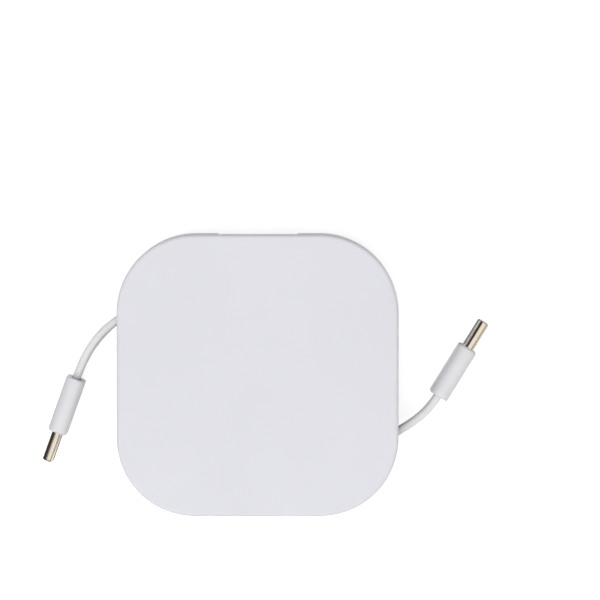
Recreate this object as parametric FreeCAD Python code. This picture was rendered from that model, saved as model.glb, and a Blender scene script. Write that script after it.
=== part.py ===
"""Retractable flat cable with a plug at each end, in a rounded square case.

Millimetres. The origin is the middle of the case's underside, +Z is up, +X is the side of the right plug bay,
and +Y is the side with the fold-out rest.
"""
import FreeCAD
import Part

import math
import os

Vector = FreeCAD.Vector
UP = Vector(0, 0, 1)

# Case
case_side = 62.0
corner_radius = 17.2
side_wall = 1.6
floor_thick = 1.6
roof_thick = 1.6
edge_round = 0.8
seam_chamfer = 0.12
post_radius = 2.0
post_pin_radius = 1.1
post_pin_length = 4.0
post_from_corner = 4.1
snug_fit = 0.02
running_fit = 0.05

# Flat cable
cable_width = 5.5
cable_thick = 1.65
cable_edge_round = 0.7

# Plug
overmould_length = 12.6
overmould_width = 11.5
overmould_thick = 4.25
overmould_side_round = 1.9
overmould_front_round = 0.6
overmould_rear_round = 0.25
cable_entry_depth = 1.3
cable_entry_gap = 0.28
shell_width = 8.25
shell_thick = 2.4
shell_reach = 6.65
shell_root = 3.6
shell_wall = 0.25
shell_lip_round = 0.4
carrier_setback = 0.3
tongue_slot_width = 6.75
tongue_slot_thick = 0.95
tongue_slot_depth = 5.6
contact_count = 12
contact_pitch = 0.5
contact_width = 0.22
contact_thick = 0.26
contact_setback = 0.75
contact_groove_gap = 0.03
board_length = 4.3
board_width = 7.4
board_thick = 0.8
board_pocket_gap = 0.2
solder_overlap = 1.6
latch_thick = 0.3
latch_arm_width = 0.26
latch_setback = 1.4
latch_gap = 0.03

# Plug bays in the two sides, and the cable slot at the tail of each
bay_gap = 0.35
bay_wall = 1.2
bay_tail = -8.5
slot_length = 7.0
slot_height = 9.6

# Fold-out rest
flap_width = 16.6
flap_side_gap = 0.45
flap_top_gap = 0.45
flap_reveal = 0.2
flap_thick = 1.8
flap_lip = 2.2
flap_back_gap = 0.4
flap_wall = 1.2
flap_knuckle_radius = 1.4
flap_floor_gap = 0.3
flap_edge_round = 0.35
hinge_pin_radius = 0.6
hinge_pin_seat = 1.0

# Spool, from the floor upwards
retainer_floor_gap = 0.5
retainer_thick = 0.4
spring_side_gap = 0.15
spring_width = 3.0
spring_thick = 0.3
spring_half_turns = 16
spring_tab = 1.0
spring_bend = 0.6
spring_slit = 0.7
spring_wall_gap = 0.3
flange_thick = 0.8
cable_side_gap = 0.3
top_flange_thick = 0.7
roof_gap = 0.5
spool_gap = 0.6
flange_margin = 0.6
hub_radius = 5.9
layer_gap = 0.05
channel_gap = 0.1
peg_radius = 1.2
trunnion_radius = 2.5
trunnion_height = 0.35
bearing_ring_wall = 1.5
arbor_radius = 3.2
stub_radius = 1.6
cup_radius = 14.6
cup_wall = 2.4
winding_turn = -70.0

# Ratchet on the rim of the spring cup
pocket_count = 15
pocket_radius = 1.5
pocket_offset = 0.2
pawl_pivot_angle = -72.7
pawl_pivot_gap = 4.57
pawl_post_radius = 1.2
pawl_hub_radius = 2.0
pawl_nose_radius = 0.8
pawl_nose_angle = -90.0
pawl_nose_gap = 0.4
pawl_knee_reach = 1.3
pawl_knee_radius = 0.9
pawl_swing = 14.0
pawl_thick = 2.6
pawl_step = 0.6
pawl_lift = 0.1
pawl_spring_thick = 0.25
pawl_spring_width = 2.0
pawl_spring_length = 6.6
pawl_spring_gap = 0.15
anchor_side = 2.6

# Where the plugs lie, and the routes of the two leads from the winding to them
floor_clearance = 0.05
right_plug_tail = (39.95, -4.95)
right_plug_heading = 58.4
left_plug_tail = (-40.23, -1.07)
left_plug_heading = 250.5
right_route = [
    (9.69, -22.83, 9.65),
    (14.80, -20.66, 9.65),
    (20.40, -18.05, 9.25),
    (26.10, -15.35, 8.35),
    (31.40, -12.55, 7.35),
    (35.30, -10.10, 6.60),
    (38.25, -7.35, 6.10),
    (40.42, -4.18, 5.80),
]
left_route = [
    (-9.69, 22.83, 9.65),
    (-14.80, 20.66, 9.65),
    (-20.40, 18.05, 9.25),
    (-26.30, 15.05, 8.40),
    (-31.45, 11.85, 7.50),
    (-35.42, 8.10, 6.70),
    (-38.75, 3.10, 6.10),
    (-40.53, -1.92, 5.80),
]
arc_share = 0.45

# Heights that follow from the stack inside the case
retainer_z = floor_thick + retainer_floor_gap
spring_z = retainer_z + retainer_thick + spring_side_gap
flange_z = spring_z + spring_width + spring_side_gap
cable_floor_z = flange_z + flange_thick
cable_z = cable_floor_z + cable_side_gap
top_flange_z = cable_z + cable_width + cable_side_gap
top_flange_top = top_flange_z + top_flange_thick
roof_z = top_flange_top + roof_gap
case_height = roof_z + roof_thick
seam_z = case_height / 2

# Places that follow from the case and the plug
half_side = case_side / 2
bay_depth = overmould_thick + 2 * bay_gap
bay_height = overmould_width + 2 * bay_gap
bay_back = half_side - bay_depth
bay_floor = seam_z - bay_height / 2
bay_roof = seam_z + bay_height / 2
spool_radius = bay_back - bay_wall - spool_gap
cup_rim = cup_radius + cup_wall
plug_z = overmould_width / 2 + floor_clearance

# Places of the rest, folded up
flap_face = half_side - flap_reveal
recess_half = flap_width / 2 + flap_side_gap
recess_back = flap_face - flap_thick - flap_lip - flap_back_gap
hinge_y = flap_face - flap_knuckle_radius
hinge_z = flap_floor_gap + flap_knuckle_radius
flap_top = bay_roof - flap_top_gap

# Winding: two arms that leave an S through the hub
layer_step = cable_thick + layer_gap
winding_first = hub_radius + channel_gap + cable_thick / 2 + layer_step / 2
winding_room = spool_radius - flange_margin - cable_thick / 2 - layer_step / 2
winding_layers = int((winding_room - winding_first) / layer_step) + 1
bend_radius = (winding_first - layer_step / 2) / 2

# Power spring: half turns that grow evenly from the arbor to the cup
spring_room = cup_radius - arbor_radius - 2 * spring_wall_gap - spring_thick
spring_step = spring_room / spring_half_turns
spring_first = arbor_radius + spring_wall_gap + spring_thick / 2 + spring_step / 2

# Pawl, swung clear of the rim
pawl_nose_from_axis = cup_rim + pawl_nose_gap + pawl_nose_radius
pawl_pivot_from_axis = cup_rim + pawl_pivot_gap
pawl_floor = floor_thick + pawl_step + pawl_lift


def polar(radius, degrees):
    """A point in the plane of the floor."""
    turn = math.radians(degrees)
    return Vector(radius * math.cos(turn), radius * math.sin(turn), 0)


def box(low, high):
    """A block between two corners."""
    size = [b - a for a, b in zip(low, high)]
    return Part.makeBox(*size, Vector(*low))


def cylinder(radius, low, high, at=Vector()):
    """An upright cylinder between two heights."""
    return Part.makeCylinder(radius, high - low, Vector(at.x, at.y, low))


def turned(shape, degrees):
    """A copy of a shape, turned about the upright axis through the origin."""
    copy = shape.copy()
    copy.rotate(Vector(), UP, degrees)
    return copy


def edges_along(shape, axis):
    """The straight edges that run along an axis."""
    found = []
    for edge in shape.Edges:
        is_line = isinstance(edge.Curve, Part.Line)
        if is_line and abs(edge.tangentAt(edge.FirstParameter).dot(axis)) > 0.999:
            found.append(edge)
    return found


def edges_at(shape, axis, place):
    """The edges that lie in a plane across an axis."""
    found = []
    for edge in shape.Edges:
        ends = [vertex.Point.dot(axis) for vertex in edge.Vertexes]
        if all(abs(end - place) < 1e-6 for end in ends) and abs(edge.CenterOfMass.dot(axis) - place) < 1e-6:
            found.append(edge)
    return found


def rounded_square(side, radius, low, high):
    """A square block about the origin with rounded upright corners."""
    block = box((-side / 2, -side / 2, low), (side / 2, side / 2, high))
    return block.makeFillet(radius, edges_along(block, UP))


def rounded_bar(length, thick, width, radius, start=0.0):
    """A bar along X with a rounded rectangle as its section."""
    bar = box((start, -thick / 2, -width / 2), (start + length, thick / 2, width / 2))
    return bar.makeFillet(radius, edges_along(bar, Vector(1, 0, 0)))


def stadium_bar(length, thick, width, start):
    """A bar along X whose narrow sides are fully round."""
    half = (width - thick) / 2
    flat = box((start, -thick / 2, -half), (start + length, thick / 2, half))
    ends = [
        Part.makeCylinder(thick / 2, length, Vector(start, 0, z), Vector(1, 0, 0))
        for z in (-half, half)
    ]
    return flat.fuse(ends).removeSplitter()


def spiral_arm(first, count, step):
    """Half turns from the -X side outwards, each with a radius one step larger: (centre x, radius, from, to)."""
    arm = []
    for k in range(count):
        centre, start = (step / 2, 180) if k % 2 == 0 else (-step / 2, 0)
        arm.append((Vector(centre, 0, 0), first + k * step, start, start + 180))
    return arm


def opposite(arm):
    """The same arm on the other side of the axis, walked inwards."""
    return [(-centre, radius, end + 180, start + 180) for centre, radius, start, end in reversed(arm)]


def strip_edge(piece, shift):
    """One side of a strip: a line (from, to) or an arc, moved to the left of its travel."""
    if len(piece) == 2:
        along = (piece[1] - piece[0]).normalize()
        left = UP.cross(along) * shift
        return Part.LineSegment(piece[0] + left, piece[1] + left).toShape()
    centre, radius, start, end = piece
    radius -= shift if end > start else -shift
    points = [centre + polar(radius, a) for a in (start, (start + end) / 2, end)]
    return Part.Arc(*points).toShape()


def strip(pieces, thick, low, high):
    """An upright strip of even thickness along arcs and lines that follow each other."""
    left = [strip_edge(piece, thick / 2) for piece in pieces]
    right = [strip_edge(piece, -thick / 2) for piece in pieces]
    caps = []
    for a, b in ((left[0].firstVertex(), right[0].firstVertex()), (left[-1].lastVertex(), right[-1].lastVertex())):
        caps.append(Part.LineSegment(a.Point, b.Point).toShape())
    outline = Part.Wire(Part.sortEdges(left + right + caps)[0])
    face = Part.Face(outline)
    face.translate(Vector(0, 0, low))
    return face.extrude(Vector(0, 0, high - low))


def capsule(start, start_radius, end, end_radius, low, high):
    """The hull of two upright cylinders."""
    along = end - start
    lean = math.degrees(math.acos((start_radius - end_radius) / along.Length))
    heading = math.degrees(math.atan2(along.y, along.x))
    corners = [
        start + polar(start_radius, heading + lean),
        end + polar(end_radius, heading + lean),
        end + polar(end_radius, heading - lean),
        start + polar(start_radius, heading - lean),
    ]
    web = Part.Face(Part.makePolygon([*corners, corners[0]]))
    web.translate(Vector(0, 0, low))
    body = web.extrude(Vector(0, 0, high - low))
    ends = [cylinder(start_radius, low, high, start), cylinder(end_radius, low, high, end)]
    return body.fuse(ends).removeSplitter()


def winding_path():
    """The cable from the outer end of one arm, through the hub, to the outer end of the other."""
    arm = spiral_arm(winding_first, winding_layers, layer_step)
    bend_in = (Vector(bend_radius, 0, 0), bend_radius, 0, -180)
    bend_out = (Vector(-bend_radius, 0, 0), bend_radius, 0, 180)
    return [*opposite(arm), bend_in, bend_out, *arm]


def winding():
    """The wound cable."""
    coil = strip(winding_path(), cable_thick, cable_z, cable_z + cable_width)
    return turned(coil, winding_turn)


def power_spring():
    """The flat spiral spring, with a tab at each end."""
    arm = spiral_arm(spring_first, spring_half_turns, spring_step)
    inner = -(spring_first - spring_step / 2)
    outer = -(cup_radius - spring_wall_gap - spring_thick / 2)
    tab_in = (
        Vector(inner + spring_bend + spring_tab, spring_bend, 0),
        Vector(inner + spring_bend, spring_bend, 0),
    )
    bend_in = (Vector(inner + spring_bend, 0, 0), spring_bend, 90, 180)
    bend_out = (Vector(outer - spring_bend, 0, 0), spring_bend, 0, -90)
    tab_out = (
        Vector(outer - spring_bend, -spring_bend, 0),
        Vector(outer - spring_bend - spring_tab, -spring_bend, 0),
    )
    return strip([tab_in, bend_in, *arm, bend_out, tab_out], spring_thick, spring_z, spring_z + spring_width)


def spool():
    """Hub with the cable channel, lower flange, and the spring cup with its ratchet rim under it."""
    body = cylinder(spool_radius, flange_z, cable_floor_z)
    cup = cylinder(cup_rim, retainer_z, flange_z).cut(cylinder(cup_radius, retainer_z, flange_z))
    slit_reach = cup_radius + spring_tab + spring_bend
    slit_y = -spring_bend
    slit = box(
        (-slit_reach, slit_y - spring_slit / 2, retainer_z),
        (-cup_radius + cup_wall, slit_y + spring_slit / 2, flange_z),
    )
    cup = cup.cut(slit)
    engaged = pawl_nose_place(-pawl_swing)
    first_pocket = math.degrees(math.atan2(engaged.y, engaged.x))
    for k in range(pocket_count):
        place = polar(cup_rim + pocket_offset, first_pocket + 360 * k / pocket_count)
        cup = cup.cut(cylinder(pocket_radius, retainer_z, flange_z, place))
    hub = cylinder(hub_radius, cable_floor_z, top_flange_z)
    core = [
        (Vector(bend_radius, 0, 0), bend_radius, 90, -180),
        (Vector(-bend_radius, 0, 0), bend_radius, 0, 270),
    ]
    channel = strip(core, cable_thick + 2 * channel_gap, cable_floor_z, top_flange_z)
    hub = hub.cut(channel)
    pegs = [
        cylinder(peg_radius, top_flange_z, top_flange_top, Vector(x, 0, 0))
        for x in (-bend_radius, bend_radius)
    ]
    hub = turned(Part.makeCompound([*hub.Solids, *pegs]), winding_turn)
    stub = cylinder(stub_radius, floor_thick + running_fit, flange_z)
    return body.fuse([cup, stub, *hub.Solids]).removeSplitter()


def spool_flange():
    """Upper flange on the hub's pegs, with the trunnion that turns in the top cover."""
    disc = cylinder(spool_radius, top_flange_z, top_flange_top)
    trunnion = cylinder(trunnion_radius, top_flange_top, top_flange_top + trunnion_height)
    disc = disc.fuse(trunnion).removeSplitter()
    for x in (-bend_radius, bend_radius):
        place = turned(Part.Vertex(x, 0, 0), winding_turn).Point
        disc = disc.cut(cylinder(peg_radius + snug_fit, top_flange_z, top_flange_top, place))
    return disc


def spring_retainer():
    """Thin disc in the mouth of the spring cup."""
    disc = cylinder(cup_radius - snug_fit, retainer_z, retainer_z + retainer_thick)
    return disc.cut(cylinder(arbor_radius + spring_wall_gap, retainer_z, retainer_z + retainer_thick))


def pawl_pivot():
    """The axis of the pawl."""
    return polar(pawl_pivot_from_axis, pawl_pivot_angle)


def pawl_nose_place(degrees):
    """The middle of the pawl's nose, swung from its clear position."""
    pivot = pawl_pivot()
    arm = polar(pawl_nose_from_axis, pawl_nose_angle) - pivot
    turn = math.radians(degrees)
    return pivot + Vector(
        arm.x * math.cos(turn) - arm.y * math.sin(turn),
        arm.x * math.sin(turn) + arm.y * math.cos(turn),
        0,
    )


def pawl_knee():
    """The bend between the pawl's arm and its nose."""
    return polar(pawl_nose_from_axis + pawl_knee_reach, pawl_nose_angle)


def ratchet_pawl():
    """Lever whose round nose drops into a pocket of the rim."""
    high = pawl_floor + pawl_thick
    arm = capsule(pawl_pivot(), pawl_hub_radius, pawl_knee(), pawl_knee_radius, pawl_floor, high)
    nose = capsule(pawl_knee(), pawl_knee_radius, pawl_nose_place(0), pawl_nose_radius, pawl_floor, high)
    lever = arm.fuse(nose).removeSplitter()
    return lever.cut(cylinder(pawl_post_radius + running_fit, pawl_floor, high, pawl_pivot()))


def pawl_spring_box(grow):
    """The leaf that bears on the back of the knee, grown on its faces."""
    knee = pawl_knee()
    face = knee.y - pawl_knee_radius - pawl_spring_gap
    low = pawl_floor + (pawl_thick - pawl_spring_width) / 2
    end = knee.x - pawl_spring_gap
    return box(
        (end - pawl_spring_length, face - pawl_spring_thick - grow, low - grow),
        (end, face + grow, low + pawl_spring_width + grow),
    )


def pawl_anchor():
    """The slotted block that grips the tail of the leaf."""
    leaf = pawl_spring_box(0).BoundBox
    middle = (leaf.YMin + leaf.YMax) / 2
    block = box(
        (leaf.XMin - anchor_side / 2, middle - anchor_side / 2, floor_thick),
        (leaf.XMin + anchor_side / 2, middle + anchor_side / 2, leaf.ZMax),
    )
    return block.cut(pawl_spring_box(snug_fit))


def bay_block():
    """The case material around the right plug bay."""
    return box(
        (bay_back - bay_wall, bay_tail - bay_wall, 0),
        (half_side, half_side, case_height),
    )


def bay_cut():
    """The right plug bay, open at the side and through the corner, and the cable slot at its tail."""
    bay = box((bay_back, bay_tail, bay_floor), (case_side, case_side, bay_roof))
    slot_roof = cable_z + cable_width + cable_side_gap
    slot = box(
        (bay_back - bay_wall, bay_tail - slot_length, slot_roof - slot_height),
        (case_side, bay_tail, slot_roof),
    )
    return bay.fuse(slot)


def flap_block():
    """The case material around the recess of the rest."""
    reach = recess_half + flap_wall
    return box((-reach, recess_back - flap_wall, 0), (reach, half_side, case_height))


def flap_cut():
    """The recess of the rest, open at the side and at the underside."""
    return box((-recess_half, recess_back, 0), (recess_half, case_side, bay_roof))


def post_places():
    """The press posts in the four corners."""
    diagonal = (half_side - corner_radius) * math.sqrt(2) + corner_radius
    reach = diagonal - side_wall - post_from_corner + post_radius
    return [polar(reach - post_radius, 45 + 90 * k) for k in range(4)]


def case_shell():
    """Both covers in one piece, hollow, with the bays and the recess cut."""
    outer = rounded_square(case_side, corner_radius, 0, case_height)
    rims = edges_at(outer, UP, 0) + edges_at(outer, UP, case_height)
    outer = outer.makeFillet(edge_round, rims)
    inner_side = case_side - 2 * side_wall
    room = rounded_square(inner_side, corner_radius - side_wall, floor_thick, roof_z)
    blocks = [bay_block(), turned(bay_block(), 180), flap_block()]
    cuts = [bay_cut(), turned(bay_cut(), 180), flap_cut()]
    return outer.cut(room.cut(blocks)).cut(cuts)


def outer_seam_edges(cover):
    """The edges of a cover's outer contour in the seam plane."""
    faces = [
        face for face in cover.Faces
        if abs(face.CenterOfMass.z - seam_z) < 1e-6 and abs(face.normalAt(0, 0).z) > 0.999
    ]
    contour = [edge for face in faces for edge in face.OuterWire.Edges]
    return [edge for edge in cover.Edges if any(edge.isSame(other) for other in contour)]


def half_case(low, high):
    """One cover's share of the shell, with its seam edge broken."""
    slab = box((-case_side, -case_side, low), (case_side, case_side, high))
    cover = case_shell().common(slab).Solids[0]
    return cover.makeChamfer(seam_chamfer, outer_seam_edges(cover))


def bottom_cover():
    """Lower half: arbor, pawl post, spring anchor, sockets, and the eyes of the hinge pin."""
    cover = half_case(0, seam_z)
    arbor = cylinder(arbor_radius, floor_thick, flange_z - cable_side_gap)
    arbor = arbor.cut(cylinder(stub_radius + running_fit, floor_thick, flange_z))
    slit = box(
        (-arbor_radius, spring_bend - spring_slit / 2, spring_z - spring_side_gap),
        (0, spring_bend + spring_slit / 2, flange_z),
    )
    arbor = arbor.cut(slit).cut(cylinder(stub_radius + running_fit, floor_thick, flange_z))
    pivot = pawl_pivot()
    step = cylinder(pawl_hub_radius, floor_thick, floor_thick + pawl_step, pivot)
    post = cylinder(pawl_post_radius, floor_thick, pawl_floor + pawl_thick + pawl_lift, pivot)
    sockets = [cylinder(post_radius, floor_thick, seam_z, place) for place in post_places()]
    cover = cover.fuse([*arbor.Solids, step, post, pawl_anchor(), *sockets])
    holes = [
        cylinder(post_pin_radius + snug_fit, seam_z - post_pin_length - snug_fit, seam_z, place)
        for place in post_places()
    ]
    return cover.cut([*holes, hinge_pin_bar(snug_fit)]).removeSplitter()


def top_cover():
    """Upper half: press posts, and the ring that the spool's trunnion turns in."""
    cover = half_case(seam_z, case_height)
    ring_low = top_flange_top + (roof_gap - trunnion_height) / 2
    ring = cylinder(trunnion_radius + bearing_ring_wall, ring_low, roof_z)
    ring = ring.cut(cylinder(trunnion_radius + running_fit, ring_low, roof_z))
    posts = []
    for place in post_places():
        posts.append(cylinder(post_radius, seam_z, roof_z, place))
        posts.append(cylinder(post_pin_radius, seam_z - post_pin_length, seam_z, place))
    return cover.fuse([ring, *posts]).removeSplitter()


def hinge_pin_bar(grow):
    """The hinge pin, or its hole."""
    reach = recess_half + hinge_pin_seat + grow
    return Part.makeCylinder(
        hinge_pin_radius + grow, 2 * reach, Vector(-reach, hinge_y, hinge_z), Vector(1, 0, 0)
    )


def phone_flap():
    """The rest, folded up: a plate on a knuckle, with an inward lip at its free edge."""
    half = flap_width / 2
    inner_face = flap_face - flap_thick
    plate = box((-half, inner_face, hinge_z), (half, flap_face, flap_top))
    lip = box((-half, inner_face - flap_lip, flap_top - flap_thick), (half, flap_face, flap_top))
    knuckle = Part.makeCylinder(
        flap_knuckle_radius, flap_width, Vector(-half, hinge_y, hinge_z), Vector(1, 0, 0)
    )
    flap = plate.fuse([lip, knuckle]).removeSplitter()
    front = [edge for edge in edges_along(flap, UP) if abs(edge.CenterOfMass.y - flap_face) < 1e-6]
    flap = flap.makeFillet(flap_edge_round, front)
    bore = Part.makeCylinder(
        hinge_pin_radius + running_fit, case_side, Vector(-half_side, hinge_y, hinge_z), Vector(1, 0, 0)
    )
    return flap.cut(bore)


def overmould():
    """The plug's grip, with the pocket of the cable, the board's chamber and the socket of the shell."""
    body = rounded_bar(overmould_length, overmould_thick, overmould_width, overmould_side_round)
    along = Vector(1, 0, 0)
    body = body.makeFillet(overmould_front_round, edges_at(body, along, overmould_length))
    body = body.makeFillet(overmould_rear_round, edges_at(body, along, 0))
    entry = rounded_bar(
        cable_entry_depth,
        cable_thick + 2 * cable_entry_gap,
        cable_width + 2 * cable_entry_gap,
        cable_edge_round,
    )
    shell_start = overmould_length - shell_root
    socket = stadium_bar(shell_root, shell_thick, shell_width, shell_start)
    chamber_start = shell_start - board_length - board_pocket_gap
    chamber_half_thick = board_thick / 2 + contact_thick + board_pocket_gap
    chamber_half_width = board_width / 2 + board_pocket_gap
    chamber = box(
        (chamber_start, -chamber_half_thick, -chamber_half_width),
        (shell_start, chamber_half_thick, chamber_half_width),
    )
    return body.cut([entry, socket, chamber])


def plug_shell():
    """Drawn metal shell of the plug, with a rounded mouth."""
    start = overmould_length - shell_root
    # A round wider than the wall loses its crest to the hollow, so the tube starts longer by that much
    past_wall = max(shell_lip_round - shell_wall, 0)
    crest = shell_lip_round - math.sqrt(shell_lip_round**2 - past_wall**2)
    length = shell_root + shell_reach + crest
    tube = stadium_bar(length, shell_thick, shell_width, start)
    tube = tube.makeFillet(shell_lip_round, edges_at(tube, Vector(1, 0, 0), start + length))
    hollow = stadium_bar(length, shell_thick - 2 * shell_wall, shell_width - 2 * shell_wall, start)
    return tube.cut(hollow)


def contact_bars(grow):
    """The two rows of contacts, or the grooves that they lie in."""
    start = overmould_length - shell_root - solder_overlap
    end = overmould_length + shell_reach - carrier_setback - contact_setback
    bars = []
    for k in range(contact_count):
        z = (k - (contact_count - 1) / 2) * contact_pitch
        for side in (-1, 1):
            near, far = sorted((side * board_thick / 2, side * (board_thick / 2 + contact_thick)))
            bars.append(
                box(
                    (start - grow, near - grow, z - contact_width / 2 - grow),
                    (end + grow, far + grow, z + contact_width / 2 + grow),
                )
            )
    return bars


def latch_spring(grow=0.0):
    """The U-shaped spring whose arms hold the plug in a socket, or its room in the carrier."""
    back = overmould_length + shell_reach - carrier_setback - tongue_slot_depth - latch_thick
    tip = overmould_length + shell_reach - carrier_setback - latch_setback
    outer = tongue_slot_width / 2 + latch_arm_width
    block = box(
        (back - latch_thick - grow, -latch_thick / 2 - grow, -outer - grow),
        (tip + grow, latch_thick / 2 + grow, outer + grow),
    )
    inside = outer - latch_arm_width - grow
    gap = box((back + grow, -shell_thick, -inside), (case_side, shell_thick, inside))
    return block.cut(gap)


def contact_carrier():
    """Moulded insulator that holds the contacts and leaves the slot for a socket's tongue."""
    start = overmould_length - shell_root
    end = overmould_length + shell_reach - carrier_setback
    room = 2 * (shell_wall + snug_fit)
    body = stadium_bar(end - start, shell_thick - room, shell_width - room, start)
    slot = box(
        (end - tongue_slot_depth, -tongue_slot_thick / 2, -tongue_slot_width / 2),
        (end, tongue_slot_thick / 2, tongue_slot_width / 2),
    )
    return body.cut([slot, latch_spring(latch_gap), *contact_bars(contact_groove_gap)])


def paddle_board():
    """The small circuit board behind the carrier."""
    end = overmould_length - shell_root
    return box(
        (end - board_length, -board_thick / 2, -board_width / 2),
        (end, board_thick / 2, board_width / 2),
    )


def plug_parts():
    """The pieces of one plug along X, with the overmould's rear face at the origin."""
    return {
        "overmould": overmould(),
        "plug_shell": plug_shell(),
        "contact_carrier": contact_carrier(),
        "contacts": Part.makeCompound(contact_bars(0.0)),
        "latch_spring": latch_spring(),
        "paddle_board": paddle_board(),
    }


def lead_path(route):
    """Straight runs joined by tangent arcs, with the radii of the arcs."""
    points = [Vector(*point) for point in route]
    edges = []
    radii = []
    start = points[0]
    for before, corner, after in zip(points, points[1:], points[2:]):
        back = (before - corner).normalize()
        ahead = (after - corner).normalize()
        half_turn = (math.pi - back.getAngle(ahead)) / 2
        shorter = min((before - corner).Length, (after - corner).Length)
        radius = arc_share * shorter / math.tan(half_turn)
        reach = arc_share * shorter
        inward = (back + ahead).normalize()
        middle = corner + inward * (radius / math.cos(half_turn) - radius)
        enter = corner + back * reach
        leave = corner + ahead * reach
        edges.append(Part.LineSegment(start, enter).toShape())
        edges.append(Part.Arc(enter, middle, leave).toShape())
        radii.append(radius)
        start = leave
    edges.append(Part.LineSegment(start, points[-1]).toShape())
    return Part.Wire(edges), radii


def cable_lead(route):
    """The flat cable along one route, its wide side kept upright."""
    path, radii = lead_path(route)
    first = Vector(*route[0])
    along = Vector(*route[1]) - first
    section = rounded_bar(1, cable_thick, cable_width, cable_edge_round)
    outline = min(section.Faces, key=lambda face: face.CenterOfMass.x).OuterWire
    outline.rotate(Vector(), UP, math.degrees(math.atan2(along.y, along.x)))
    outline.translate(first)
    sweep = Part.BRepOffsetAPI.MakePipeShell(path)
    sweep.setBiNormalMode(UP)
    sweep.add(outline)
    sweep.build()
    sweep.makeSolid()
    lead = sweep.shape()
    wanted = Part.Face(outline).Area * path.Length
    print("lead length %.1f, volume %.1f of %.1f" % (path.Length, lead.Volume, wanted))
    print("arc radii", [round(radius, 1) for radius in radii])
    return lead


def export(name, shape):
    """Writes one node, after a look at its solids."""
    if not shape.isValid():
        raise ValueError(name + " isn't a valid solid")
    shape.exportStep("parts/" + name + ".step")
    print("%-24s %3d solid(s) %10.2f mm3" % (name, len(shape.Solids), shape.Volume))


def main():
    os.makedirs("parts", exist_ok=True)
    export("bottom_cover", bottom_cover())
    export("top_cover", top_cover())
    export("spool", spool())
    export("spool_flange", spool_flange())
    export("spring_retainer", spring_retainer())
    export("power_spring", power_spring())
    export("cable_winding", winding())
    export("ratchet_pawl", ratchet_pawl())
    export("pawl_spring", pawl_spring_box(0))
    export("phone_flap", phone_flap())
    export("flap_hinge_pin", hinge_pin_bar(0))
    plugs = (
        ("left", left_route, left_plug_tail, left_plug_heading),
        ("right", right_route, right_plug_tail, right_plug_heading),
    )
    for side, route, tail, heading in plugs:
        export("cable_lead_" + side, cable_lead(route))
        for name, piece in plug_parts().items():
            piece = turned(piece, heading)
            piece.translate(Vector(*tail, plug_z))
            export(side + "_" + name, piece)
    cable = sum(math.radians(abs(end - start)) * radius for _, radius, start, end in winding_path())
    print("case height %.2f, spool radius %.2f" % (case_height, spool_radius))
    print("winding %d layers, %.0f mm of cable" % (winding_layers, cable))


main()
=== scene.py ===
"""Dresses a retractable flat cable in its rounded square case, and sets it on a pale stage."""

import math

import bpy
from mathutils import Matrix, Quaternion, Vector


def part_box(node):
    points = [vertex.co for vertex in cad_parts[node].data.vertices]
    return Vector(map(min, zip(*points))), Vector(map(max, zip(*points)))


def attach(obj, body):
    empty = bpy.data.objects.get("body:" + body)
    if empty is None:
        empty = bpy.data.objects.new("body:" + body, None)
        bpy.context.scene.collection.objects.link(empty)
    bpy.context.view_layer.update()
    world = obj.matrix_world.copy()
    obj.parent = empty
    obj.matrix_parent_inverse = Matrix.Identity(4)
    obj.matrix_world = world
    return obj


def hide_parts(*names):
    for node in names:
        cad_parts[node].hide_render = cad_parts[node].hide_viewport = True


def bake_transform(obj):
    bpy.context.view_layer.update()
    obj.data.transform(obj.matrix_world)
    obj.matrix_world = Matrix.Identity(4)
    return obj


bl_info = {
    "name": "Retractable Flat Cable",
    "version": (1, 0, 0),
    "blender": (4, 5, 0),
    "location": "View3D > Sidebar > Cable Reel",
    "description": "Finishes a cable reel's case, leads, plugs and mechanism, and lights them",
    "category": "Object",
}

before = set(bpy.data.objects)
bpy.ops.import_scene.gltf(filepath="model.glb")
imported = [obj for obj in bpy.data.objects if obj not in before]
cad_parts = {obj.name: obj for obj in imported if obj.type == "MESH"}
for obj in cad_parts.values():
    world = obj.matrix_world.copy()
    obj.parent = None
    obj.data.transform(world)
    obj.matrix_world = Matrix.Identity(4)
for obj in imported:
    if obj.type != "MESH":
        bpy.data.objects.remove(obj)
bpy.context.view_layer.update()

UP = Vector((0, 0, 1))
SHARP_ANGLE = math.radians(30)
WHITE = (1, 1, 1, 1)
SIDES = ("left", "right")

# Control points of the leads, from the winding to inside the plug, in metres
LEAD_ROUTES = {
    "right": [
        (0.00969, -0.02283, 0.00965),
        (0.01480, -0.02066, 0.00965),
        (0.02040, -0.01805, 0.00925),
        (0.02610, -0.01535, 0.00835),
        (0.03140, -0.01255, 0.00735),
        (0.03530, -0.01010, 0.00660),
        (0.03825, -0.00735, 0.00610),
        (0.04042, -0.00418, 0.00580),
    ],
    "left": [
        (-0.00969, 0.02283, 0.00965),
        (-0.01480, 0.02066, 0.00965),
        (-0.02040, 0.01805, 0.00925),
        (-0.02630, 0.01505, 0.00840),
        (-0.03145, 0.01185, 0.00750),
        (-0.03542, 0.00810, 0.00670),
        (-0.03875, 0.00310, 0.00610),
        (-0.04053, -0.00192, 0.00580),
    ],
}
# How far each lead leans over between the case and its plug
LEAD_LEANS = {"right": 0.0, "left": math.radians(5.0)}
PLUG_PIECES = ("overmould", "plug_shell", "contact_carrier", "contacts", "latch_spring", "paddle_board")


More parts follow.
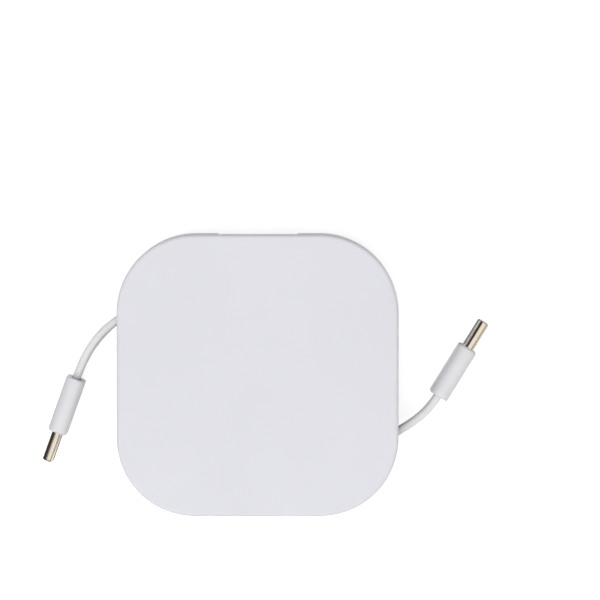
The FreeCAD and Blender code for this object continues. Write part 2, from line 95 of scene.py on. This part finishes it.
class ReelFinish(bpy.types.PropertyGroup):
    """Colours and grain of the pieces."""

    case_colour: bpy.props.FloatVectorProperty(
        name="Case",
        description="Colour of the moulded covers and the rest",
        subtype="COLOR",
        default=(0.755, 0.762, 0.800),
        min=0,
        max=1,
    )
    grip_colour: bpy.props.FloatVectorProperty(
        name="Plug grips",
        description="Colour of the grips moulded over the plugs",
        subtype="COLOR",
        default=(0.755, 0.755, 0.775),
        min=0,
        max=1,
    )
    jacket_colour: bpy.props.FloatVectorProperty(
        name="Cable jacket",
        description="Colour of the flat cable",
        subtype="COLOR",
        default=(0.80, 0.80, 0.80),
        min=0,
        max=1,
    )
    shell_colour: bpy.props.FloatVectorProperty(
        name="Plug shells",
        description="Reflected colour of the drawn metal shells",
        subtype="COLOR",
        default=(0.88, 0.84, 0.77),
        min=0,
        max=1,
    )
    case_grain: bpy.props.FloatProperty(
        name="Case grain",
        description="Size of the fine moulded grain on the covers",
        unit="LENGTH",
        default=0.00035,
        min=0.0001,
    )


class ReelCable(bpy.types.PropertyGroup):
    """Section of the flat cable."""

    width: bpy.props.FloatProperty(
        name="Width", description="Wide side of the cable", unit="LENGTH", default=0.0055, min=0.001
    )
    thick: bpy.props.FloatProperty(
        name="Thickness", description="Narrow side of the cable", unit="LENGTH", default=0.00165, min=0.0005
    )
    edge: bpy.props.FloatProperty(
        name="Edge radius",
        description="Rounding of the narrow sides",
        unit="LENGTH",
        default=0.0007,
        min=0.0001,
    )


class ReelSpring(bpy.types.PropertyGroup):
    """The flat spiral spring between the arbor and the cup of the spool."""

    start: bpy.props.FloatProperty(
        name="Inner radius",
        description="Middle of the strip where it leaves the arbor",
        unit="LENGTH",
        default=0.00365,
    )
    step: bpy.props.FloatProperty(
        name="Growth", description="How much each half turn grows", unit="LENGTH", default=0.00065625
    )
    half_turns: bpy.props.IntProperty(
        name="Half turns", description="Half turns of the strip", subtype="UNSIGNED", default=16, min=2
    )
    thick: bpy.props.FloatProperty(
        name="Strip", description="Thickness of the strip", unit="LENGTH", default=0.0003, min=0.0001
    )
    bend: bpy.props.FloatProperty(
        name="End bend",
        description="Radius of the bend at each end",
        unit="LENGTH",
        default=0.0006,
        min=0.0001,
    )
    tab: bpy.props.FloatProperty(
        name="End tab",
        description="Length of the hooked tab at each end",
        unit="LENGTH",
        default=0.0010,
        min=0.0001,
    )


class ReelStage(bpy.types.PropertyGroup):
    """Camera, softbox and floor."""

    view_width: bpy.props.FloatProperty(
        name="View width",
        description="Width seen at the case's top",
        unit="LENGTH",
        default=0.13175,
        min=0.01,
    )
    view_distance: bpy.props.FloatProperty(
        name="View distance",
        description="Height of the camera over the case",
        unit="LENGTH",
        default=1.0,
        min=0.1,
    )
    view_aim: bpy.props.FloatVectorProperty(
        name="Aim",
        description="Point in the middle of the picture",
        subtype="TRANSLATION",
        default=(0.00933, 0.01663, 0.0155),
    )
    view_lean: bpy.props.FloatProperty(
        name="Lean",
        description="How far the camera stands towards the fold-out rest",
        unit="LENGTH",
        default=0.0370,
    )
    key_power: bpy.props.FloatProperty(
        name="Softbox power", description="Power of the softbox overhead", unit="POWER", default=4.8, min=0
    )
    key_size: bpy.props.FloatProperty(
        name="Softbox size", description="Side of the square softbox", unit="LENGTH", default=0.6, min=0.01
    )
    key_place: bpy.props.FloatVectorProperty(
        name="Softbox place",
        description="Middle of the softbox, which looks at the origin",
        subtype="TRANSLATION",
        default=(-0.15, -0.22, 0.92),
    )
    floor_side: bpy.props.FloatProperty(
        name="Floor side", description="Side of the square floor", unit="LENGTH", default=4.0, min=0.5
    )
    floor_tone: bpy.props.FloatProperty(
        name="Floor tone",
        description="Grey of the floor in the room's light",
        subtype="FACTOR",
        default=0.68,
        min=0,
        max=1,
    )
    floor_glow: bpy.props.FloatProperty(
        name="Floor glow",
        description="Light added to the floor where it is looked at",
        subtype="FACTOR",
        default=0.66,
        min=0,
        max=1,
    )


class Value:
    """A shader socket that takes part in arithmetic."""

    def __init__(self, paint, socket):
        self.paint = paint
        self.socket = socket

    def __add__(self, other):
        return self.paint.math("ADD", self, other)

    def __mul__(self, other):
        return self.paint.math("MULTIPLY", self, other)

    __radd__ = __add__
    __rmul__ = __mul__


# The band that most values of a noise lie in
NOISE_BAND = (0.3, 0.7)
# Height and size of a second, finer grain beside the main one
FINE_HEIGHT = 0.4
FINE_SIZE = 0.3


class Paint:
    """A node tree that is written from its textures to its surface."""

    def __init__(self, tree):
        self.tree = tree

    def node(self, kind, settings=None, sockets=None, output=0):
        """Adds a node, sets its settings and then its sockets, and gives one of its outputs."""
        node = self.tree.nodes.new(kind)
        for name, setting in (settings or {}).items():
            setattr(node, name, setting)
        for name, value in (sockets or {}).items():
            self.feed(node.inputs[name], value)
        return Value(self, node.outputs[output]) if node.outputs else None

    def feed(self, socket, value):
        """Links a value to a socket, or sets the socket."""
        if isinstance(value, Value):
            self.tree.links.new(value.socket, socket)
        else:
            socket.default_value = value

    def math(self, operation, a, b):
        """One Math node."""
        return self.node("ShaderNodeMath", {"operation": operation}, {0: a, 1: b})

    def mix(self, factor, a, b):
        """A mix of two colours."""
        return self.node(
            "ShaderNodeMix",
            {"data_type": "RGBA", "clamp_factor": True},
            {"Factor": factor, 6: a, 7: b},
            output=2,
        )

    def place(self):
        """The point on the object, in metres."""
        return self.node("ShaderNodeTexCoord", output="Object")

    def stretched(self, scale):
        """The point, stretched along the axes."""
        return self.node("ShaderNodeMapping", None, {"Vector": self.place(), "Scale": scale})

    def noise(self, size, detail, place=None):
        """Cloudy noise, from 0 to 1, with features of a size in metres."""
        return self.node(
            "ShaderNodeTexNoise",
            None,
            {"Vector": place or self.place(), "Scale": 1 / size, "Detail": detail},
            output="Fac",
        )

    def ranged(self, value, low, high):
        """Noise spread from low to high."""
        start, end = NOISE_BAND
        return self.node(
            "ShaderNodeMapRange",
            None,
            {"Value": value, "From Min": start, "From Max": end, "To Min": low, "To Max": high},
        )

    def bump(self, height, depth):
        """A bump of a depth in metres."""
        return self.node("ShaderNodeBump", None, {"Distance": depth, "Height": height})

    def seen(self):
        """1 where the camera sees a surface itself, in a mirror or through glass."""
        rays = self.node("ShaderNodeLightPath", output="Is Camera Ray")
        kinds = rays.socket.node.outputs
        for kind in ("Is Glossy Ray", "Is Transmission Ray"):
            rays = self.math("MAXIMUM", rays, Value(self, kinds[kind]))
        return rays


def blank_paint(block):
    """The paint of a material or a world, cleared of the nodes that it starts with."""
    block.use_nodes = True
    block.node_tree.nodes.clear()
    return Paint(block.node_tree)


def rgba(colour, level=1.0):
    """A colour with its alpha, made lighter or darker."""
    return (*(min(1.0, part * level) for part in colour), 1.0)


def tinted(colour, tint):
    """A colour, each part of it scaled."""
    return rgba([part * scale for part, scale in zip(colour, tint)])


def surface(name, constants, varying):
    """A material with constant sockets, and with sockets that a function of its paint makes vary."""
    material = bpy.data.materials.new(name)
    material.use_nodes = True
    paint = Paint(material.node_tree)
    shader = material.node_tree.nodes["Principled BSDF"]
    for socket, value in {**constants, **varying(paint)}.items():
        paint.feed(shader.inputs[socket], value)
    return material


def moulded_case(finish):
    """Satin white plastic with a fine moulded grain."""

    def varying(paint):
        cloud = paint.ranged(paint.noise(size=0.022, detail=3.0), low=0.0, high=1.0)
        grain = paint.noise(size=finish.case_grain, detail=3.0)
        fine = paint.noise(size=finish.case_grain * FINE_SIZE, detail=2.0)
        dull = tinted(finish.case_colour, (0.985, 0.985, 0.990))
        bright = tinted(finish.case_colour, (1.010, 1.010, 1.015))
        return {
            "Base Color": paint.mix(cloud, dull, bright),
            "Roughness": paint.ranged(grain, low=0.44, high=0.54),
            "Normal": paint.bump(grain + FINE_HEIGHT * fine, depth=0.000012),
        }

    return surface("case_satin_plastic", {"Specular IOR Level": 0.28}, varying)


def moulded_grip(finish):
    """Smooth satin plastic of the plug grips, with faint flow marks."""

    def varying(paint):
        flow = paint.ranged(paint.noise(size=0.006, detail=3.0), low=0.0, high=1.0)
        grain = paint.noise(size=0.00025, detail=3.0)
        dull = tinted(finish.grip_colour, (0.98, 0.98, 0.985))
        bright = rgba(finish.grip_colour, level=1.015)
        return {
            "Base Color": paint.mix(flow, dull, bright),
            "Roughness": paint.ranged(grain, low=0.36, high=0.46),
            "Normal": paint.bump(grain, depth=0.000008),
        }

    return surface("plug_grip_plastic", {"Specular IOR Level": 0.35}, varying)


def soft_jacket(finish):
    """Soft jacket of the flat cable, with faint draw lines."""

    def varying(paint):
        cloud = paint.ranged(paint.noise(size=0.004, detail=3.0), low=0.0, high=1.0)
        draw = paint.noise(size=0.0009, detail=2.0, place=paint.stretched((0.3, 0.3, 2.5)))
        grain = paint.noise(size=0.00016, detail=2.0)
        dull, bright = (rgba(finish.jacket_colour, level) for level in (0.975, 1.01))
        return {
            "Base Color": paint.mix(cloud, dull, bright),
            "Roughness": paint.ranged(grain, low=0.46, high=0.58),
            "Normal": paint.bump(draw + FINE_HEIGHT * grain, depth=0.000010),
        }

    constants = {"Subsurface Weight": 0.04, "Subsurface Radius": (0.001, 0.001, 0.001)}
    return surface("cable_jacket", constants, varying)


def drawn_shell(finish):
    """Polished nickel over drawn steel, with fine lines and a little handling haze."""

    def varying(paint):
        lines = paint.noise(size=0.00022, detail=2.0, place=paint.stretched((1.0, 1.0, 0.25)))
        haze = paint.ranged(paint.noise(size=0.0018, detail=3.0), low=0.0, high=1.0)
        dull, bright = (rgba(finish.shell_colour, level) for level in (0.95, 1.03))
        return {
            "Base Color": paint.mix(haze, dull, bright),
            "Roughness": paint.ranged(haze, low=0.07, high=0.13),
            "Normal": paint.bump(lines, depth=0.0000015),
        }

    return surface("drawn_nickel", {"Metallic": 1.0}, varying)


def plated_contacts():
    """Gold plate on the contacts."""

    def varying(paint):
        wear = paint.ranged(paint.noise(size=0.0006, detail=3.0), low=0.0, high=1.0)
        return {
            "Base Color": paint.mix(wear, rgba((0.80, 0.56, 0.22)), rgba((0.93, 0.71, 0.33))),
            "Roughness": paint.ranged(wear, low=0.18, high=0.30),
        }

    return surface("contact_plate", {"Metallic": 1.0}, varying)


def spring_steel():
    """Rolled steel strip and pin."""

    def varying(paint):
        rolled = paint.noise(size=0.0006, detail=3.0, place=paint.stretched((1.0, 1.0, 6.0)))
        tone = paint.ranged(rolled, low=0.0, high=1.0)
        return {
            "Base Color": paint.mix(tone, rgba((0.44, 0.44, 0.46)), rgba((0.60, 0.60, 0.61))),
            "Roughness": paint.ranged(rolled, low=0.24, high=0.38),
            "Normal": paint.bump(rolled, depth=0.000003),
        }

    return surface("rolled_steel", {"Metallic": 1.0}, varying)


# Plain finishes of inner pieces: the darker colour, the lighter colour and the lowest roughness
PLAIN_FINISHES = {
    "inner_plastic": ((0.70, 0.70, 0.70), (0.77, 0.77, 0.76), 0.45),
    "carrier_plastic": ((0.012, 0.012, 0.013), (0.022, 0.022, 0.023), 0.42),
    "board_coat": ((0.020, 0.090, 0.045), (0.030, 0.120, 0.060), 0.35),
}
PLAIN_ROUGH_SPREAD = 0.1


def plain_moulding(name):
    """Plain moulded or coated surface of the inner pieces."""
    dark, light, rough = PLAIN_FINISHES[name]

    def varying(paint):
        flow = paint.ranged(paint.noise(size=0.005, detail=3.0), low=0.0, high=1.0)
        grain = paint.noise(size=0.0003, detail=2.0)
        return {
            "Base Color": paint.mix(flow, rgba(dark), rgba(light)),
            "Roughness": paint.ranged(grain, low=rough, high=rough + PLAIN_ROUGH_SPREAD),
            "Normal": paint.bump(grain, depth=0.000008),
        }

    return surface(name, {}, varying)


def pale_floor(stage):
    """A pale floor that shows white where it is looked at, with the object's shadow on it."""
    material = bpy.data.materials.new("pale_floor")
    paint = blank_paint(material)
    plain = paint.node("ShaderNodeBsdfDiffuse", None, {"Color": rgba([stage.floor_tone] * 3)})
    glow = paint.node("ShaderNodeEmission", None, {"Color": WHITE, "Strength": stage.floor_glow})
    lit = paint.node("ShaderNodeAddShader", None, {0: plain, 1: glow})
    mixed = paint.node("ShaderNodeMixShader", None, {0: paint.seen(), 1: plain, 2: lit})
    paint.node("ShaderNodeOutputMaterial", None, {"Surface": mixed})
    return material


def glowing_card(name, tone):
    """The even glow of a card."""
    material = bpy.data.materials.new(name)
    paint = blank_paint(material)
    glow = paint.node("ShaderNodeEmission", None, {"Color": rgba(tone), "Strength": 1.0})
    paint.node("ShaderNodeOutputMaterial", None, {"Surface": glow})
    return material


def dress(material, *nodes):
    """Gives a finish to nodes of the frame."""
    for node in nodes:
        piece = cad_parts[node]
        if not piece.material_slots:
            raise RuntimeError(node + " has no material slot")
        for slot in piece.material_slots:
            slot.link = "OBJECT"
            slot.material = material


def spline_points(name, route):
    """Points along the smooth line of a route."""
    curve = bpy.data.curves.new(name, "CURVE")
    curve.dimensions = "3D"
    spline = curve.splines.new("NURBS")
    spline.points.add(len(route) - 1)
    for point, place in zip(spline.points, route):
        point.co = (*place, 1)
    spline.order_u = 3
    spline.use_endpoint_u = True
    spline.resolution_u = 16
    line = bpy.data.objects.new(name, curve)
    mesh = bpy.data.meshes.new_from_object(line)
    points = [vertex.co.copy() for vertex in mesh.vertices]
    bpy.data.objects.remove(line)
    bpy.data.curves.remove(curve)
    bpy.data.meshes.remove(mesh)
    return points


def flat_section(cable, corner_steps=8):
    """The outline of the flat cable: (across, up)."""
    outline = []
    for corner, (x, z) in enumerate(((1, 1), (-1, 1), (-1, -1), (1, -1))):
        middle = (x * (cable.thick / 2 - cable.edge), z * (cable.width / 2 - cable.edge))
        for step in range(corner_steps + 1):
            turn = math.pi / 2 * (corner + step / corner_steps)
            outline.append((middle[0] + cable.edge * math.cos(turn), middle[1] + cable.edge * math.sin(turn)))
    return outline


def flat_tube(name, path, outline, lean=0.0):
    """A closed tube along a path; its upright section leans over most at three quarters of the way."""
    verts = []
    last = len(path) - 1
    for i, point in enumerate(path):
        along = (path[min(i + 1, last)] - path[max(i - 1, 0)]).normalized()
        across = UP.cross(along).normalized()
        second_half = max(0.0, 2 * i / last - 1)
        across.rotate(Quaternion(along, lean * math.sin(math.pi * second_half)))
        up = along.cross(across)
        verts += [point + across * a + up * b for a, b in outline]
    n = len(outline)
    faces = []
    for ring in range(last):
        for k in range(n):
            a = ring * n + k
            b = ring * n + (k + 1) % n
            faces.append((a, b, b + n, a + n))
    faces.append(tuple(reversed(range(n))))
    faces.append(tuple(range(last * n, len(path) * n)))
    mesh = bpy.data.meshes.new(name)
    mesh.from_pydata(verts, [], faces)
    mesh.validate()
    mesh.shade_smooth()
    mesh.set_sharp_from_angle(angle=SHARP_ANGLE)
    tube = bpy.data.objects.new(name, mesh)
    bpy.context.scene.collection.objects.link(tube)
    return tube


def arc_points(middle, radius, start, end, steps):
    """Points on an arc about a place on the X axis, between two headings in degrees, without the first."""
    turns = [math.radians(start + (end - start) * k / steps) for k in range(1, steps + 1)]
    return [Vector((middle + radius * math.cos(turn), radius * math.sin(turn), 0)) for turn in turns]


def spring_paths(spring, bend_steps=8, turn_steps=48):
    """The strip's inner end with its first half turn, and the rest of its coils."""
    inner = -spring.start
    bend_start = Vector((inner + spring.bend, spring.bend, 0))
    end = [bend_start + Vector((spring.tab, 0, 0)), bend_start]
    end += arc_points(inner + spring.bend, spring.bend, 90, 180, bend_steps)
    halves = []
    for k in range(spring.half_turns):
        middle, heading = (spring.step / 2, 180) if k % 2 == 0 else (-spring.step / 2, 0)
        radius = spring.start + spring.step * (k + 0.5)
        halves.append(arc_points(middle, radius, heading, heading + 180, turn_steps))
    end += halves[0]
    coils = end[-1:] + [point for half in halves[1:] for point in half]
    outer = coils[-1].x
    coils += arc_points(outer - spring.bend, spring.bend, 0, -90, bend_steps)
    coils.append(Vector((outer - spring.bend - spring.tab, -spring.bend, 0)))
    return end, coils


class REEL_OT_case(bpy.types.Operator):
    """Finishes the two covers and the fold-out rest"""

    bl_idname = "reel.case"
    bl_label = "Case"

    def execute(self, context):
        dress(moulded_case(context.scene.reel_finish), "top_cover", "bottom_cover", "phone_flap")
        return {"FINISHED"}


class REEL_OT_leads(bpy.types.Operator):
    """Lays the two flat leads from the winding to the plugs"""

    bl_idname = "reel.leads"
    bl_label = "Leads"

    def execute(self, context):
        cable = context.scene.reel_cable
        jacket = soft_jacket(context.scene.reel_finish)
        dress(jacket, "cable_winding")
        for side in SIDES:
            path = spline_points(side + "_route", LEAD_ROUTES[side])
            lead = flat_tube(side + "_lead", path, flat_section(cable), LEAD_LEANS[side])
            lead.data.materials.append(jacket)
            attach(lead, "case")
            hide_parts("cable_lead_" + side)
        return {"FINISHED"}


class REEL_OT_plugs(bpy.types.Operator):
    """Finishes the grips, shells and inner pieces of the two plugs"""

    bl_idname = "reel.plugs"
    bl_label = "Plugs"

    def execute(self, context):
        finish = context.scene.reel_finish
        finishes = (
            moulded_grip(finish),
            drawn_shell(finish),
            plain_moulding("carrier_plastic"),
            plated_contacts(),
            spring_steel(),
            plain_moulding("board_coat"),
        )
        for piece, material in zip(PLUG_PIECES, finishes):
            dress(material, *(side + "_" + piece for side in SIDES))
        return {"FINISHED"}


class REEL_OT_mechanism(bpy.types.Operator):
    """Finishes the spool, its springs and its catch"""

    bl_idname = "reel.mechanism"
    bl_label = "Mechanism"

    def execute(self, context):
        dress(plain_moulding("inner_plastic"), "spool", "spool_flange", "spring_retainer", "ratchet_pawl")
        steel = spring_steel()
        dress(steel, "pawl_spring", "flap_hinge_pin")
        self.power_spring(context.scene.reel_spring, steel)
        return {"FINISHED"}

    @staticmethod
    def power_spring(spring, steel):
        """The spring, whose inner end stays hooked in the arbor while its coils turn with the spool."""
        low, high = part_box("power_spring")
        lift = Vector((0, 0, (low[2] + high[2]) / 2))
        thick, wide = spring.thick / 2, (high[2] - low[2]) / 2
        outline = [(thick, wide), (-thick, wide), (-thick, -wide), (thick, -wide)]
        end_path, coil_path = spring_paths(spring)
        end = flat_tube("spring_inner_end", [point + lift for point in end_path], outline)
        coils = flat_tube("spring_coils", [point + lift for point in coil_path], outline)
        for piece in (end, coils):
            piece.data.materials.append(steel)
            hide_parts("power_spring")
        # The strip is still as far as its tab reaches, and turns fully where it joins the coils
        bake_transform(end)
        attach(coils, "spool")


# The room of cards that the metal mirrors: its sides, ends and ceiling
ROOM_LEFT, ROOM_RIGHT, ROOM_END, CEILING = -0.60, 1.05, 1.2, 1.05
# How far the cards on the floor keep from the case's middle, to its sides and to its ends
FREE_SIDE, FREE_END = 0.060, 0.045
# Height of the cards on the floor, and of the strips that lie over them
LOW, STRIP_LOW = 0.0004, 0.0006
# How far a strip keeps from the line under its plug's middle
SLIT = 0.0004
# Where a set of cards stands (x, y), and the heading of its length in degrees
# The sets of the plugs start where the grips end
STANDS = {
    "room": ((0.0, 0.0), 90.0),
    "far_end": ((0.0, ROOM_END), 0.0),
    "near_end": ((0.0, -ROOM_END), 0.0),
    "right": ((0.046552, 0.005782), 58.4),
    "left": ((-0.044436, -0.012947), 250.5),
}
# Where the ceiling's left slope changes its tone along the room, and where the far wall does across it
SLOPE_SPLIT, WALL_SPLIT = 0.22, 0.30
# Ends of the cards along their length
WHOLE = (-ROOM_END, ROOM_END)
NEAR = (-ROOM_END, SLOPE_SPLIT)
FAR = (SLOPE_SPLIT, ROOM_END)
MIDDLE = (-FREE_SIDE, FREE_SIDE)
AHEAD = (0.0, 0.080)
# Tones of the cards
DARK = (0.050, 0.043, 0.038)
DUSK = (0.10, 0.09, 0.08)
DIM = (0.16, 0.14, 0.12)
SHADE = (0.22, 0.21, 0.20)
GREY = (0.36, 0.34, 0.31)
SILVER = (0.42, 0.41, 0.40)
WARM = (0.50, 0.46, 0.38)
PALE = (0.52, 0.50, 0.48)
CREAM = (0.95, 0.87, 0.72)
# Profiles of the cards: (across, z)
WALL = [(0.0, LOW), (0.0, CEILING)]
FLOOR_REACH = ROOM_END - FREE_END
LEFT_TOP, SLOPE_TURN, SLOPE_END = (ROOM_LEFT, 0.78), (-0.36, 0.96), (-0.24, CEILING)
GAP_TOP, GAP_FOOT = (0.98, 0.60), (1.00, 0.40)
# The cards: name, tone, stand, ends and profile
CARDS = (
    ("far_dark", DARK, "far_end", (ROOM_LEFT, WALL_SPLIT), WALL),
    ("far_warm", WARM, "far_end", (WALL_SPLIT, ROOM_RIGHT), WALL),
    ("far_floor", DARK, "far_end", MIDDLE, [(0.0, LOW), (FLOOR_REACH, LOW)]),
    ("near_wall", DUSK, "near_end", (ROOM_LEFT, ROOM_RIGHT), WALL),
    ("near_floor", DUSK, "near_end", MIDDLE, [(0.0, LOW), (-FLOOR_REACH, LOW)]),
    ("dark_card", DARK, "room", WHOLE, [(-FREE_SIDE, LOW), (ROOM_LEFT, LOW), LEFT_TOP]),
    ("dark_top", DARK, "room", FAR, [LEFT_TOP, SLOPE_TURN]),
    ("grey_card", GREY, "room", NEAR, [LEFT_TOP, SLOPE_END]),
    ("grey_top", GREY, "room", FAR, [SLOPE_TURN, SLOPE_END]),
    ("cream_card", CREAM, "room", WHOLE, [SLOPE_END, (0.55, CEILING), GAP_TOP]),
    ("gap_card", DIM, "room", WHOLE, [GAP_TOP, GAP_FOOT]),
    ("right_card", PALE, "room", WHOLE, [GAP_FOOT, (ROOM_RIGHT, LOW), (FREE_SIDE, LOW)]),
    ("right_strip", SHADE, "right", AHEAD, [(-0.0120, STRIP_LOW), (-SLIT, STRIP_LOW)]),
    ("right_edge", SILVER, "right", AHEAD, [(SLIT, STRIP_LOW), (0.0100, STRIP_LOW)]),
    ("left_edge", SHADE, "left", AHEAD, [(-0.0090, STRIP_LOW), (-SLIT, STRIP_LOW)]),
)
# Tones of the room that lights the case, on its left and right
ROOM_COOL, ROOM_WARM = (0.93, 0.93, 1.0), (1.0, 0.99, 0.95)
# The room's level, the level that it falls to beyond the fold-out rest, and where it starts and ends to fall
ROOM_LEVEL, BACK_LEVEL = 0.60, 0.24
BACK_START, BACK_END = 0.2, 0.95


class REEL_OT_stage(bpy.types.Operator):
    """Sets the floor, the softbox, the cards that the metal mirrors, the world and the camera"""

    bl_idname = "reel.stage"
    bl_label = "Stage"

    def execute(self, context):
        stage = context.scene.reel_stage
        self.floor(stage)
        self.softbox(stage)
        for card in CARDS:
            self.card(*card)
        self.world(context.scene)
        self.camera(context.scene, stage)
        context.scene.view_settings.view_transform = "Standard"
        return {"FINISHED"}

    @staticmethod
    def floor(stage):
        """A square floor that the case lies on."""
        mesh = bpy.data.meshes.new("floor")
        half = stage.floor_side / 2
        corners = [(-half, -half, 0), (half, -half, 0), (half, half, 0), (-half, half, 0)]
        mesh.from_pydata(corners, [], [(0, 1, 2, 3)])
        mesh.materials.append(pale_floor(stage))
        floor = bpy.data.objects.new("floor", mesh)
        bpy.context.scene.collection.objects.link(floor)

    @staticmethod
    def softbox(stage):
        """A square softbox that looks at the case, and isn't mirrored in the metal."""
        lamp = bpy.data.lights.new("overhead_softbox", "AREA")
        lamp.energy = stage.key_power
        lamp.size = stage.key_size
        box = bpy.data.objects.new("overhead_softbox", lamp)
        place = Vector(stage.key_place)
        box.location = place
        box.rotation_euler = place.to_track_quat("Z", "Y").to_euler()
        box.visible_glossy = False
        bpy.context.scene.collection.objects.link(box)

    @staticmethod
    def card(name, tone, stand, ends, profile):
        """A card that is seen in mirrors alone, with one profile from end to end."""
        mesh = bpy.data.meshes.new(name)
        (x, y), heading = STANDS[stand]
        along_x, along_y = math.cos(math.radians(heading)), math.sin(math.radians(heading))
        verts = [
            (x + across * along_y + along * along_x, y - across * along_x + along * along_y, z)
            for across, z in profile
            for along in ends
        ]
        faces = [(k, k + 1, k + 3, k + 2) for k in range(0, len(verts) - 2, 2)]
        mesh.from_pydata(verts, [], faces)
        mesh.materials.append(glowing_card(name, tone))
        card = bpy.data.objects.new(name, mesh)
        for rays in ("camera", "diffuse", "transmission", "volume_scatter", "shadow"):
            setattr(card, "visible_" + rays, False)
        bpy.context.scene.collection.objects.link(card)

    @staticmethod
    def world(scene):
        """A studio that is cool on the left, warm on the right, dim beyond the rest, and white to look at."""
        scene.world = bpy.data.worlds.new("studio")
        paint = blank_paint(scene.world)
        way = paint.node("ShaderNodeTexCoord", output="Generated")
        across = paint.node("ShaderNodeSeparateXYZ", None, {0: way}, output="X")
        along = paint.node("ShaderNodeSeparateXYZ", None, {0: way}, output="Y")
        tone = paint.mix(0.5 + 0.5 * across, rgba(ROOM_COOL), rgba(ROOM_WARM))
        fall = {"From Min": BACK_START, "From Max": BACK_END, "To Min": ROOM_LEVEL, "To Max": BACK_LEVEL}
        smooth = {"interpolation_type": "SMOOTHSTEP"}
        level = paint.node("ShaderNodeMapRange", smooth, {"Value": along, **fall})
        room = paint.node("ShaderNodeBackground", None, {"Color": tone, "Strength": level})
        white = paint.node("ShaderNodeBackground", None, {"Color": WHITE, "Strength": 1.0})
        mixed = paint.node("ShaderNodeMixShader", None, {0: paint.seen(), 1: room, 2: white})
        paint.node("ShaderNodeOutputWorld", None, {"Surface": mixed})

    @staticmethod
    def camera(scene, stage):
        """A long lens almost straight over the case."""
        data = bpy.data.cameras.new("camera")
        camera = bpy.data.objects.new("camera", data)
        aim = Vector(stage.view_aim)
        back = Vector((0, stage.view_lean, stage.view_distance))
        camera.location = aim + back
        camera.rotation_euler = (-math.atan2(back.y, back.z), 0, 0)
        data.lens = data.sensor_width * back.length / stage.view_width
        scene.collection.objects.link(camera)
        scene.camera = camera


class REEL_PT_panel(bpy.types.Panel):
    """Sizes, colours and steps of the cable reel"""

    bl_label = "Cable Reel"
    bl_idname = "REEL_PT_panel"
    bl_space_type = "VIEW_3D"
    bl_region_type = "UI"
    bl_category = "Cable Reel"

    def draw(self, context):
        for group in (getattr(context.scene, name) for name in GROUPS):
            for name in group.bl_rna.properties.keys():
                if name not in ("rna_type", "name"):
                    self.layout.prop(group, name)
        for operator in OPERATORS:
            self.layout.operator(operator.bl_idname)


OPERATORS = (REEL_OT_case, REEL_OT_leads, REEL_OT_plugs, REEL_OT_mechanism, REEL_OT_stage)
GROUPS = {
    "reel_finish": ReelFinish,
    "reel_cable": ReelCable,
    "reel_spring": ReelSpring,
    "reel_stage": ReelStage,
}


def register():
    for group in GROUPS.values():
        bpy.utils.register_class(group)
    for name, group in GROUPS.items():
        setattr(bpy.types.Scene, name, bpy.props.PointerProperty(type=group))
    for operator in OPERATORS:
        bpy.utils.register_class(operator)
    bpy.utils.register_class(REEL_PT_panel)


def unregister():
    bpy.utils.unregister_class(REEL_PT_panel)
    for operator in reversed(OPERATORS):
        bpy.utils.unregister_class(operator)
    for name, group in GROUPS.items():
        delattr(bpy.types.Scene, name)
        bpy.utils.unregister_class(group)


def main():
    register()
    bpy.ops.reel.case()
    bpy.ops.reel.leads()
    bpy.ops.reel.plugs()
    bpy.ops.reel.mechanism()
    bpy.ops.reel.stage()


if __name__ == "__main__":
    main()
